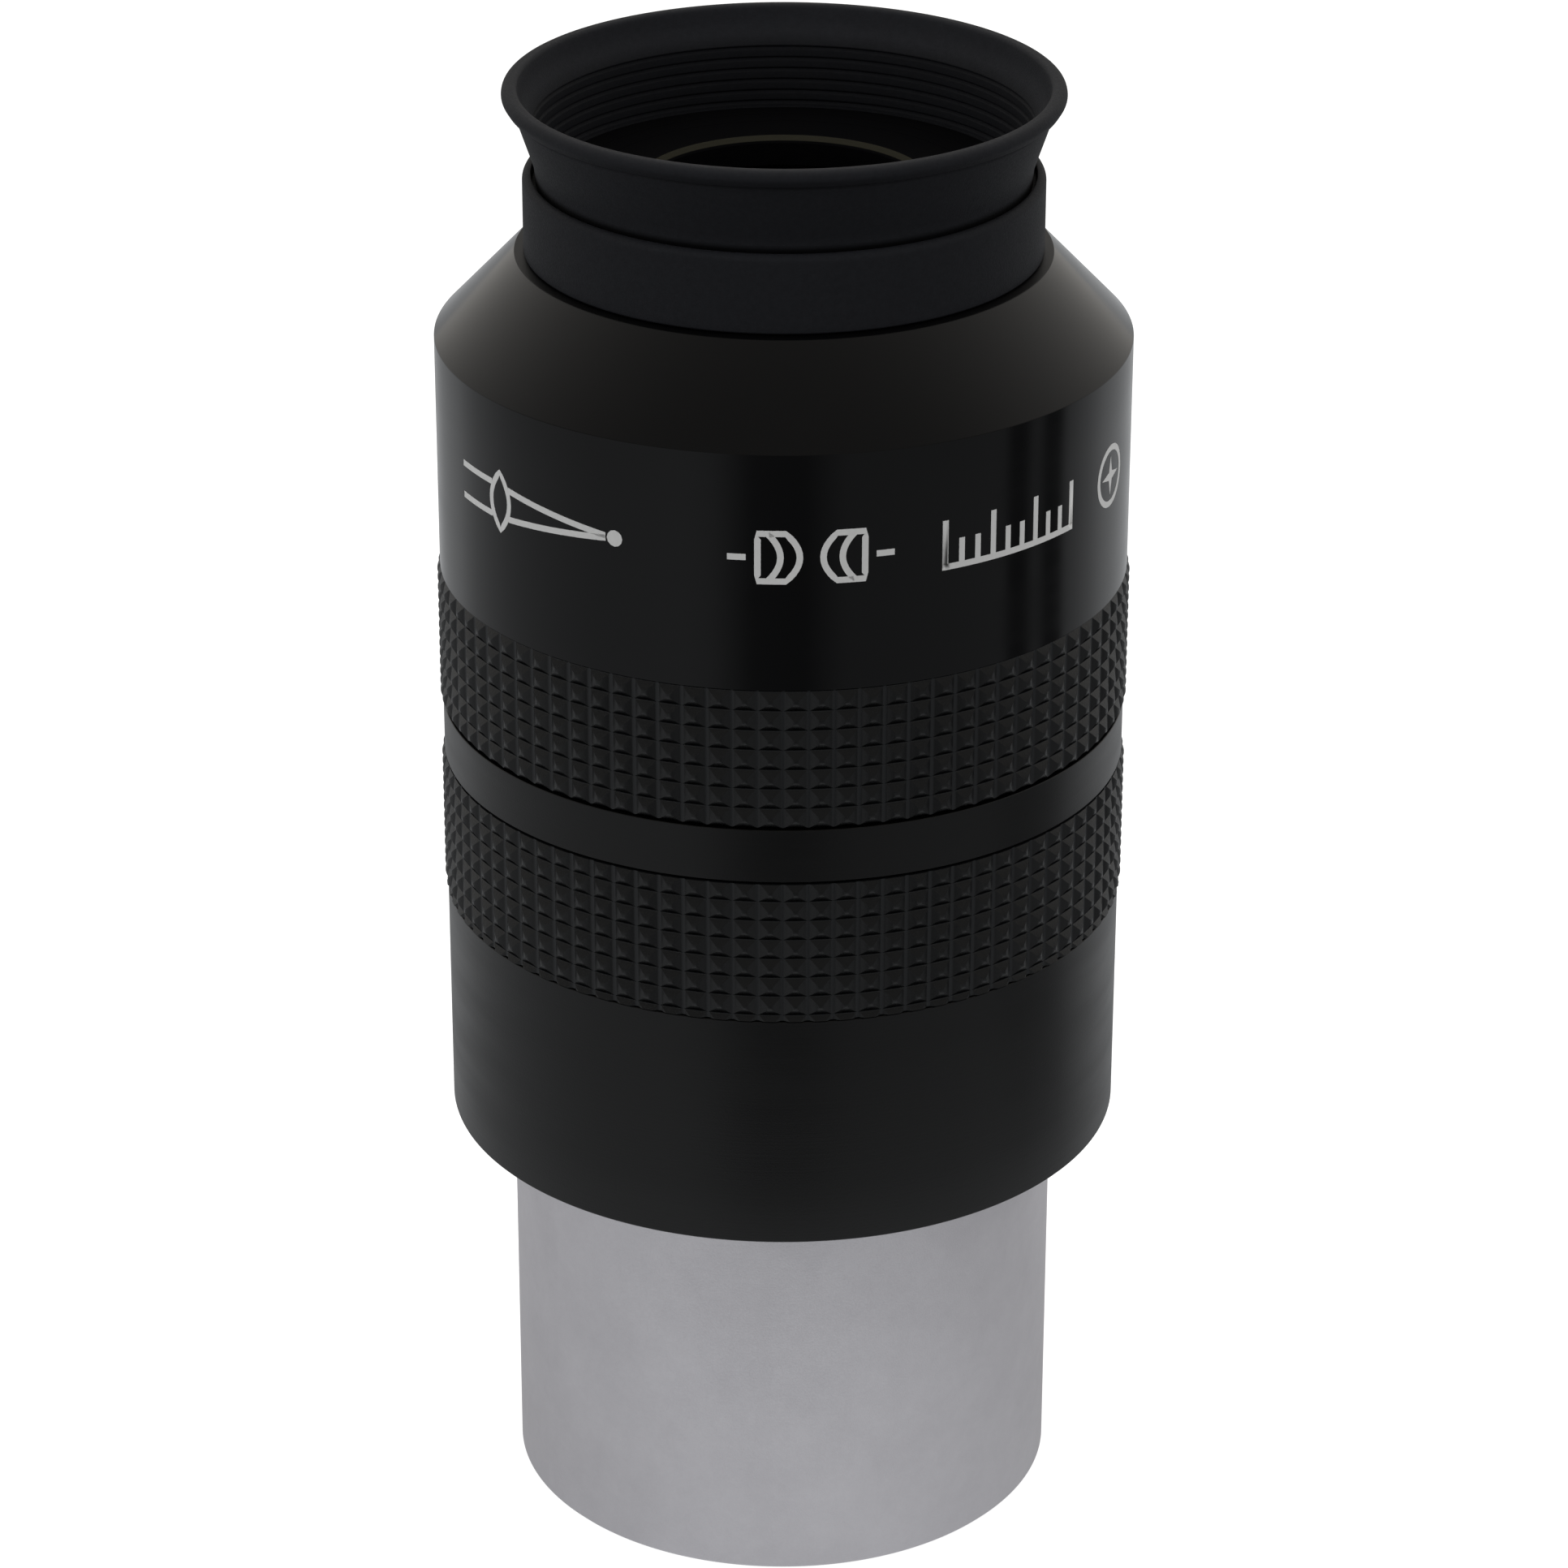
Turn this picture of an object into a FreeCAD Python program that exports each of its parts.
import FreeCAD, Part
import math
import os

# A two-inch telescope eyepiece with a fold-down rubber eyecup. All sizes are in millimetres.
# The optical axis is Z. Z = 0 is the open end of the chromed nosepiece, which slides into a
# focuser, and the observer's eye is above the rubber cup at the top.

# Nosepiece
BARREL_R = 25.40
BARREL_LENGTH = 38.40
BARREL_BORE_R = 23.20
BARREL_EDGE_CHAMFER = 0.40
FILTER_THREAD_R = 24.00
FILTER_THREAD_DEPTH = 5.50
FILTER_LEAD_IN = 0.30
BARREL_SEAT_DEPTH = 0.60
BARREL_RELIEF_R = 25.00
BARREL_RELIEF_SETBACK = 0.05
BARREL_SPIGOT_R = 24.50
BARREL_SPIGOT_LENGTH = 7.50

# Housing shells
HOUSING_R = 31.16
HOUSING_BORE_R = 27.00
HOUSING_EDGE_CHAMFER = 0.30
HOUSING_SPLIT_Z = 86.00
HOUSING_SPIGOT_R = 28.50
HOUSING_SPIGOT_LENGTH = 6.00
CONE_BASE_Z = 114.30
LIP_R = 23.87
LIP_Z = 121.90
LIP_ROUND = 0.30

# Grooves for the rubber grip rings, as lowest and highest Z
LOWER_GROOVE = (60.70, 74.40)
UPPER_GROOVE = (79.50, 92.80)
GROOVE_FLOOR_R = 29.90
GROOVE_EDGE_CHAMFER = 0.12
GRIP_OUTER_R = 31.45
GRIP_END_GAP = 0.12
GRIP_EDGE_ROUND = 0.25

# Clearances
THREAD_CLEARANCE = 0.05
SLIDING_CLEARANCE = 0.05
AXIAL_CLEARANCE = 0.30
CEMENT_LAYER = 0.05

# Field stop, at the focal plane below the field lens
STOP_SEAT_Z = 48.00
STOP_OPENING_R = 22.80
STOP_THICKNESS = 2.00
STOP_KNIFE_EDGE = 0.30
STOP_RETAINER_THICKNESS = 2.50
STOP_RETAINER_R = 24.20

# Glare baffle sleeve
BAFFLE_TOP_Z = 85.50
BAFFLE_WALL_R = 25.90
BAFFLE_RIDGE_R = 25.30
BAFFLE_RIDGE_COUNT = 10

# Two cemented doublets, crown glasses facing each other
STEEP_RADIUS = 44.20
CROWN_RADIUS = 71.10
FLINT_RADIUS = 363.00
EYE_LENS_R = 17.00
EYE_FLINT_VERTEX_Z = 125.50
EYE_FLINT_THICKNESS = 3.50
EYE_CROWN_THICKNESS = 8.50
FIELD_LENS_R = 23.00
FIELD_CROWN_VERTEX_Z = 109.50
FIELD_CROWN_THICKNESS = 13.00
FIELD_FLINT_THICKNESS = 4.00

# Lens cell and the rings that hold the lenses
CELL_R = 25.90
CELL_NECK_R = 19.00
CELL_TAIL_R = 24.60
CELL_BOTTOM_Z = 88.50
CELL_TAIL_TOP_Z = 95.00
CELL_SHOULDER_Z = 113.00
CELL_STEP_Z = 112.00
EYE_SEAT_R = 15.50
SPACER_BORE_R = 21.50
FIELD_RING_BORE_R = 21.50
FIELD_RING_THICKNESS = 3.00
LOCK_RING_THICKNESS = 2.50
EYE_RING_BORE_R = 12.42
EYE_RING_CHAMFER_R = 12.86
EYE_RING_CHAMFER_DEPTH = 0.61
SLOT_WIDTH = 1.60
SLOT_DEPTH = 0.80
EYE_SLOT_REACH = (14.40, 16.20)

# Neck that carries the eyecup
FLOOR_Z = 128.00
NECK_R = 21.00
NECK_THREAD_R = 20.20
NECK_BOTTOM_Z = 114.50
NECK_GROOVE_R = 20.20
NECK_GROOVE = (123.90, 126.10)

# Set screws that lock the two shells, under the upper grip ring
SCREW_COUNT = 3
SCREW_R = 1.25
SCREW_Z = 89.20
SCREW_TIP_R = 27.50
SCREW_HEAD_R = 29.70
SCREW_SOCKET_R = 0.60
SCREW_SOCKET_DEPTH = 0.90

# Rubber eyecup: band round the neck, thin flared skirt, and rolled rim
BAND_R = 23.08
BAND_BOTTOM_Z = 122.20
BAND_TOP_Z = 129.00
BAND_TOP_ROUND = 1.40
BAND_EDGE_ROUND = 0.25
BAND_BEAD_R = 20.30
BAND_BEAD = (124.20, 125.80)
CUP_BORE_R = 21.50
SKIRT_R = 22.50
SKIRT_STRAIGHT_TOP_Z = 130.20
SKIRT_FLARE_Z = 133.00
SKIRT_FLARE_R = 23.30
SKIRT_INNER_FLARE_Z = 133.50
SKIRT_INNER_FLARE_R = 22.05
SKIRT_TOP_Z = 135.40
SKIRT_TOP_R = 24.20
SKIRT_TOP_BORE_R = 23.30
SKIRT_OUTER_ROUND = 6.00
SKIRT_INNER_ROUND = 2.00
RIM_R = 24.80
RIM_BORE_R = 23.40
RIM_BOTTOM_Z = 135.50
RIM_TOP_Z = 137.00
RIM_ROUND = 0.60
SKIN_GAP = 0.05

AXIS_POINT = FreeCAD.Vector(0, 0, 0)
UP = FreeCAD.Vector(0, 0, 1)


def at(radius, height):
    """Point of a profile, drawn in the XZ half plane."""
    return FreeCAD.Vector(radius, 0, height)


def corner_arc(before, corner, after, radius):
    """Tangent arc that rounds one corner of a profile, as its start, middle and end points."""
    to_before = (before - corner).normalize()
    to_after = (after - corner).normalize()
    half_angle = to_before.getAngle(to_after) / 2
    bisector = (to_before + to_after).normalize()
    centre = corner + bisector * (radius / math.sin(half_angle))
    setback = radius / math.tan(half_angle)
    middle = centre - bisector * radius
    return corner + to_before * setback, middle, corner + to_after * setback


def turned(corners):
    """Solid of revolution from (radius, height) corners, or (radius, height, rounding)."""
    points = [at(corner[0], corner[1]) for corner in corners]
    edges = []
    joints = []
    for index, corner in enumerate(corners):
        point = points[index]
        if len(corner) == 3:
            following = points[(index + 1) % len(points)]
            start, middle, end = corner_arc(points[index - 1], point, following, corner[2])
            edges.append(Part.Arc(start, middle, end).toShape())
            joints.append((start, end))
        else:
            joints.append((point, point))
    for index, joint in enumerate(joints):
        following = joints[(index + 1) % len(joints)]
        if joint[1].distanceToPoint(following[0]) > 1e-6:
            edges.append(Part.LineSegment(joint[1], following[0]).toShape())
    wire = Part.Wire(Part.__sortEdges__(edges))
    return Part.Face(wire).revolve(AXIS_POINT, UP, 360)


def surface_z(vertex_z, radius, distance):
    """Height of a lens surface off the axis; a negative radius curves down at the edge."""
    sag = abs(radius) - math.sqrt(radius ** 2 - distance ** 2)
    return vertex_z + math.copysign(sag, radius)


def surface_arc(vertex_z, radius, edge_r):
    """Profile arc of a lens surface, from the axis to the lens edge."""
    halfway = edge_r / 2
    return Part.Arc(
        at(0, vertex_z),
        at(halfway, surface_z(vertex_z, radius, halfway)),
        at(edge_r, surface_z(vertex_z, radius, edge_r)),
    ).toShape()


def lens(lower, upper, edge_r):
    """One glass element between two (vertex height, radius) surfaces."""
    low_arc = surface_arc(lower[0], lower[1], edge_r)
    high_arc = surface_arc(upper[0], upper[1], edge_r)
    rim = Part.LineSegment(
        at(edge_r, surface_z(lower[0], lower[1], edge_r)),
        at(edge_r, surface_z(upper[0], upper[1], edge_r)),
    ).toShape()
    axis = Part.LineSegment(at(0, lower[0]), at(0, upper[0])).toShape()
    wire = Part.Wire(Part.__sortEdges__([low_arc, rim, high_arc, axis]))
    return Part.Face(wire).revolve(AXIS_POINT, UP, 360)


def ring(inner_r, outer_r, bottom_z, top_z):
    """Plain square-edged ring."""
    return turned([(inner_r, bottom_z), (outer_r, bottom_z), (outer_r, top_z), (inner_r, top_z)])


def spanner_slots(inner_r, outer_r, bottom_z, depth):
    """Cutters for the two opposite slots that take a spanner wrench."""
    cutters = []
    for side in (0, 180):
        slot = Part.makeBox(outer_r - inner_r, SLOT_WIDTH, depth, at(inner_r, bottom_z))
        slot.translate(FreeCAD.Vector(0, -SLOT_WIDTH / 2, 0))
        slot.rotate(AXIS_POINT, UP, side)
        cutters.append(slot)
    return cutters


def radial_pins(radius, inner_r, outer_r):
    """Cylinders along the set screws' radial axes."""
    pins = []
    for index in range(SCREW_COUNT):
        pin = Part.makeCylinder(radius, outer_r - inner_r, at(inner_r, SCREW_Z), at(1, 0))
        pin.rotate(AXIS_POINT, UP, 90 + index * 360 / SCREW_COUNT)
        pins.append(pin)
    return pins


def barrel_tube():
    """Chromed tube with a filter thread at its mouth, relieved where it enters the housing."""
    relief_z = BARREL_LENGTH - BARREL_RELIEF_SETBACK
    seat_z = BARREL_LENGTH + BARREL_SEAT_DEPTH
    spigot_top = BARREL_LENGTH + BARREL_SPIGOT_LENGTH
    return turned([
        (FILTER_THREAD_R + FILTER_LEAD_IN, 0),
        (BARREL_R - BARREL_EDGE_CHAMFER, 0),
        (BARREL_R, BARREL_EDGE_CHAMFER),
        (BARREL_R, relief_z),
        (BARREL_RELIEF_R, relief_z),
        (BARREL_RELIEF_R, seat_z),
        (BARREL_SPIGOT_R, seat_z),
        (BARREL_SPIGOT_R, spigot_top),
        (BARREL_BORE_R, spigot_top),
        (BARREL_BORE_R, FILTER_THREAD_DEPTH),
        (FILTER_THREAD_R, FILTER_THREAD_DEPTH),
        (FILTER_THREAD_R, FILTER_LEAD_IN),
    ])


def groove(low_z, high_z):
    """Outer profile corners of one grip groove, from its lower to its upper edge."""
    chamfer = GROOVE_EDGE_CHAMFER
    return [
        (HOUSING_R, low_z - chamfer),
        (HOUSING_R - chamfer, low_z),
        (GROOVE_FLOOR_R, low_z),
        (GROOVE_FLOOR_R, high_z),
        (HOUSING_R - chamfer, high_z),
        (HOUSING_R, high_z + chamfer),
    ]


def lower_housing():
    spigot_top = HOUSING_SPLIT_Z + HOUSING_SPIGOT_LENGTH
    seat_z = BARREL_LENGTH + BARREL_SEAT_DEPTH
    seat_r = BARREL_R + SLIDING_CLEARANCE
    thread_r = BARREL_SPIGOT_R + THREAD_CLEARANCE
    outside = groove(*LOWER_GROOVE) + groove(*UPPER_GROOVE)[:3]
    shell = turned([
        (thread_r, seat_z),
        (seat_r, seat_z),
        (seat_r, BARREL_LENGTH),
        (HOUSING_R - HOUSING_EDGE_CHAMFER, BARREL_LENGTH),
        (HOUSING_R, BARREL_LENGTH + HOUSING_EDGE_CHAMFER),
        *outside,
        (GROOVE_FLOOR_R, HOUSING_SPLIT_Z),
        (HOUSING_SPIGOT_R, HOUSING_SPLIT_Z),
        (HOUSING_SPIGOT_R, spigot_top),
        (HOUSING_BORE_R, spigot_top),
        (HOUSING_BORE_R, STOP_SEAT_Z),
        (thread_r, STOP_SEAT_Z),
    ])
    return shell.cut(radial_pins(SCREW_R + THREAD_CLEARANCE, SCREW_TIP_R, HOUSING_R))


def upper_housing():
    joint_r = HOUSING_SPIGOT_R + THREAD_CLEARANCE
    joint_top = HOUSING_SPLIT_Z + HOUSING_SPIGOT_LENGTH + AXIAL_CLEARANCE
    cell_bore_r = CELL_R + SLIDING_CLEARANCE
    neck_bore_r = NECK_THREAD_R + THREAD_CLEARANCE
    shell = turned([
        (joint_r, HOUSING_SPLIT_Z),
        (GROOVE_FLOOR_R, HOUSING_SPLIT_Z),
        *groove(*UPPER_GROOVE)[3:],
        (HOUSING_R, CONE_BASE_Z),
        (LIP_R, LIP_Z, LIP_ROUND),
        (neck_bore_r, LIP_Z),
        (neck_bore_r, CELL_SHOULDER_Z),
        (cell_bore_r, CELL_SHOULDER_Z),
        (cell_bore_r, joint_top),
        (joint_r, joint_top),
    ])
    return shell.cut(radial_pins(SCREW_R + THREAD_CLEARANCE, SCREW_TIP_R, HOUSING_R))


def set_screws():
    screws = []
    sockets = radial_pins(SCREW_SOCKET_R, SCREW_HEAD_R - SCREW_SOCKET_DEPTH, HOUSING_R)
    for body, socket in zip(radial_pins(SCREW_R, SCREW_TIP_R + SKIN_GAP, SCREW_HEAD_R), sockets):
        screws.append(body.cut(socket))
    return Part.makeCompound(screws)


def grip_ring(span):
    """Rubber ring stretched into a housing groove; its outer radius is the tip of the studs."""
    bottom_z = span[0] + GRIP_END_GAP
    top_z = span[1] - GRIP_END_GAP
    bore_r = GROOVE_FLOOR_R + SKIN_GAP
    return turned([
        (bore_r, bottom_z),
        (GRIP_OUTER_R, bottom_z, GRIP_EDGE_ROUND),
        (GRIP_OUTER_R, top_z, GRIP_EDGE_ROUND),
        (bore_r, top_z),
    ])


def field_stop_ring():
    outer_r = HOUSING_BORE_R - SLIDING_CLEARANCE
    top_z = STOP_SEAT_Z + STOP_THICKNESS
    return turned([
        (STOP_OPENING_R, STOP_SEAT_Z),
        (outer_r, STOP_SEAT_Z),
        (outer_r, top_z),
        (STOP_OPENING_R + STOP_THICKNESS - STOP_KNIFE_EDGE, top_z),
        (STOP_OPENING_R, STOP_SEAT_Z + STOP_KNIFE_EDGE),
    ])


def field_stop_retainer():
    outer_r = HOUSING_BORE_R - THREAD_CLEARANCE
    bottom_z = STOP_SEAT_Z + STOP_THICKNESS
    top_z = bottom_z + STOP_RETAINER_THICKNESS
    cutters = spanner_slots(STOP_RETAINER_R - 1, outer_r + 1, top_z - SLOT_DEPTH, SLOT_DEPTH)
    return ring(STOP_RETAINER_R, outer_r, bottom_z, top_z).cut(cutters)


def baffle_sleeve():
    """Thin sleeve with saw-tooth ridges inside, which stop light skimming along the bore."""
    bottom_z = STOP_SEAT_Z + STOP_THICKNESS + STOP_RETAINER_THICKNESS
    outer_r = HOUSING_BORE_R - SLIDING_CLEARANCE
    pitch = (BAFFLE_TOP_Z - bottom_z) / BAFFLE_RIDGE_COUNT
    corners = [(outer_r, bottom_z), (outer_r, BAFFLE_TOP_Z)]
    for index in range(BAFFLE_RIDGE_COUNT):
        ridge_z = BAFFLE_TOP_Z - index * pitch
        corners.append((BAFFLE_RIDGE_R, ridge_z))
        corners.append((BAFFLE_WALL_R, ridge_z - pitch / 2))
    corners.append((BAFFLE_RIDGE_R, bottom_z))
    return turned(corners)


def eye_surfaces():
    """Eye doublet surfaces from the top: flint, cemented pair and crown."""
    cement_z = EYE_FLINT_VERTEX_Z - EYE_FLINT_THICKNESS
    crown_top_z = cement_z - CEMENT_LAYER
    top = (EYE_FLINT_VERTEX_Z, -FLINT_RADIUS)
    bottom = (cement_z - EYE_CROWN_THICKNESS, CROWN_RADIUS)
    return top, (cement_z, -STEEP_RADIUS), (crown_top_z, -STEEP_RADIUS), bottom


def field_surfaces():
    """Field doublet surfaces from the top: crown, cemented pair and flint."""
    cement_z = FIELD_CROWN_VERTEX_Z - FIELD_CROWN_THICKNESS
    flint_top_z = cement_z - CEMENT_LAYER
    top = (FIELD_CROWN_VERTEX_Z, -CROWN_RADIUS)
    bottom = (cement_z - FIELD_FLINT_THICKNESS, FLINT_RADIUS)
    return top, (cement_z, STEEP_RADIUS), (flint_top_z, STEEP_RADIUS), bottom


def eye_lens_flint():
    top, cement, _, _ = eye_surfaces()
    return lens(cement, top, EYE_LENS_R)


def eye_lens_crown():
    _, _, crown_top, bottom = eye_surfaces()
    return lens(bottom, crown_top, EYE_LENS_R)


def field_lens_crown():
    top, cement, _, _ = field_surfaces()
    return lens(cement, top, FIELD_LENS_R)


def field_lens_flint():
    _, _, flint_top, bottom = field_surfaces()
    return lens(bottom, flint_top, FIELD_LENS_R)


def eye_seat_z():
    """Height of the shelf that carries the eye doublet on the rim of its lower surface."""
    bottom = eye_surfaces()[3]
    return surface_z(bottom[0], bottom[1], EYE_SEAT_R) - SKIN_GAP


def lens_cell():
    eye_bore_r = EYE_LENS_R + SLIDING_CLEARANCE
    field_bore_r = FIELD_LENS_R + SLIDING_CLEARANCE
    return turned([
        (field_bore_r, CELL_BOTTOM_Z),
        (CELL_TAIL_R, CELL_BOTTOM_Z),
        (CELL_TAIL_R, CELL_TAIL_TOP_Z),
        (CELL_R, CELL_TAIL_TOP_Z),
        (CELL_R, CELL_SHOULDER_Z),
        (CELL_NECK_R, CELL_SHOULDER_Z),
        (CELL_NECK_R, FLOOR_Z),
        (eye_bore_r, FLOOR_Z),
        (eye_bore_r, eye_seat_z()),
        (EYE_SEAT_R, eye_seat_z()),
        (EYE_SEAT_R, CELL_STEP_Z),
        (field_bore_r, CELL_STEP_Z),
    ])


def cell_lock_ring():
    bore_r = CELL_TAIL_R + SLIDING_CLEARANCE
    bottom_z = CELL_TAIL_TOP_Z - LOCK_RING_THICKNESS
    cutters = spanner_slots(bore_r - 1, CELL_R + 1, bottom_z, SLOT_DEPTH)
    return ring(bore_r, CELL_R, bottom_z, CELL_TAIL_TOP_Z).cut(cutters)


def doublet_spacer():
    top = field_surfaces()[0]
    bottom_z = surface_z(top[0], top[1], SPACER_BORE_R) + SKIN_GAP
    return ring(SPACER_BORE_R, FIELD_LENS_R - SKIN_GAP, bottom_z, CELL_STEP_Z)


def field_retaining_ring():
    bottom = field_surfaces()[3]
    top_z = surface_z(bottom[0], bottom[1], FIELD_RING_BORE_R) - SKIN_GAP
    bottom_z = top_z - FIELD_RING_THICKNESS
    cutters = spanner_slots(FIELD_RING_BORE_R - 1, FIELD_LENS_R + 1, bottom_z, SLOT_DEPTH)
    return ring(FIELD_RING_BORE_R, FIELD_LENS_R, bottom_z, top_z).cut(cutters)


def eye_retaining_ring():
    top = eye_surfaces()[0]
    bottom_z = surface_z(top[0], top[1], EYE_RING_BORE_R) + SKIN_GAP
    body = turned([
        (EYE_RING_BORE_R, bottom_z),
        (EYE_LENS_R, bottom_z),
        (EYE_LENS_R, FLOOR_Z),
        (EYE_RING_CHAMFER_R, FLOOR_Z),
        (EYE_RING_BORE_R, FLOOR_Z - EYE_RING_CHAMFER_DEPTH),
    ])
    cutters = spanner_slots(EYE_SLOT_REACH[0], EYE_SLOT_REACH[1], FLOOR_Z - SLOT_DEPTH, SLOT_DEPTH)
    return body.cut(cutters)


def neck_ring():
    bore_r = CELL_NECK_R + SLIDING_CLEARANCE
    return turned([
        (bore_r, NECK_BOTTOM_Z),
        (NECK_THREAD_R, NECK_BOTTOM_Z),
        (NECK_THREAD_R, LIP_Z),
        (NECK_R, LIP_Z),
        (NECK_R, NECK_GROOVE[0]),
        (NECK_GROOVE_R, NECK_GROOVE[0]),
        (NECK_GROOVE_R, NECK_GROOVE[1]),
        (NECK_R, NECK_GROOVE[1]),
        (NECK_R, FLOOR_Z),
        (bore_r, FLOOR_Z),
    ])


def eyecup_band():
    bore_r = NECK_R + SLIDING_CLEARANCE
    return turned([
        (bore_r, BAND_BOTTOM_Z),
        (BAND_R, BAND_BOTTOM_Z, BAND_EDGE_ROUND),
        (BAND_R, BAND_TOP_Z, BAND_TOP_ROUND),
        (CUP_BORE_R, BAND_TOP_Z),
        (CUP_BORE_R, FLOOR_Z),
        (bore_r, FLOOR_Z),
        (bore_r, BAND_BEAD[1]),
        (BAND_BEAD_R, BAND_BEAD[1]),
        (BAND_BEAD_R, BAND_BEAD[0]),
        (bore_r, BAND_BEAD[0]),
    ])


def eyecup_skirt():
    return turned([
        (CUP_BORE_R, BAND_TOP_Z),
        (BAND_R - BAND_TOP_ROUND, BAND_TOP_Z),
        (SKIRT_R, BAND_TOP_Z + SKIN_GAP),
        (SKIRT_R, SKIRT_STRAIGHT_TOP_Z, SKIRT_OUTER_ROUND),
        (SKIRT_FLARE_R, SKIRT_FLARE_Z, SKIRT_OUTER_ROUND),
        (SKIRT_TOP_R, SKIRT_TOP_Z),
        (SKIRT_TOP_BORE_R, SKIRT_TOP_Z),
        (SKIRT_INNER_FLARE_R, SKIRT_INNER_FLARE_Z, SKIRT_INNER_ROUND),
    ])


def eyecup_rim():
    return turned([
        (RIM_BORE_R, RIM_BOTTOM_Z, RIM_ROUND),
        (RIM_R, RIM_BOTTOM_Z, RIM_ROUND),
        (RIM_R, RIM_TOP_Z, RIM_ROUND),
        (RIM_BORE_R, RIM_TOP_Z, RIM_ROUND),
    ])


PARTS = {
    "barrel_tube": barrel_tube(),
    "lower_housing": lower_housing(),
    "upper_housing": upper_housing(),
    "set_screws": set_screws(),
    "lower_grip_ring": grip_ring(LOWER_GROOVE),
    "upper_grip_ring": grip_ring(UPPER_GROOVE),
    "field_stop_ring": field_stop_ring(),
    "field_stop_retainer": field_stop_retainer(),
    "baffle_sleeve": baffle_sleeve(),
    "lens_cell": lens_cell(),
    "cell_lock_ring": cell_lock_ring(),
    "field_retaining_ring": field_retaining_ring(),
    "field_lens_flint": field_lens_flint(),
    "field_lens_crown": field_lens_crown(),
    "doublet_spacer": doublet_spacer(),
    "eye_lens_crown": eye_lens_crown(),
    "eye_lens_flint": eye_lens_flint(),
    "eye_retaining_ring": eye_retaining_ring(),
    "neck_ring": neck_ring(),
    "eyecup_band": eyecup_band(),
    "eyecup_skirt": eyecup_skirt(),
    "eyecup_rim": eyecup_rim(),
}

os.makedirs("parts", exist_ok=True)
for name, shape in PARTS.items():
    shape.exportStep(os.path.join("parts", name + ".step"))
    box = shape.optimalBoundingBox()
    print(name, "valid" if shape.isValid() else "INVALID", len(shape.Solids), "solids",
          "z %.2f to %.2f" % (box.ZMin, box.ZMax), "r %.2f" % box.XMax, "volume %.0f" % shape.Volume)
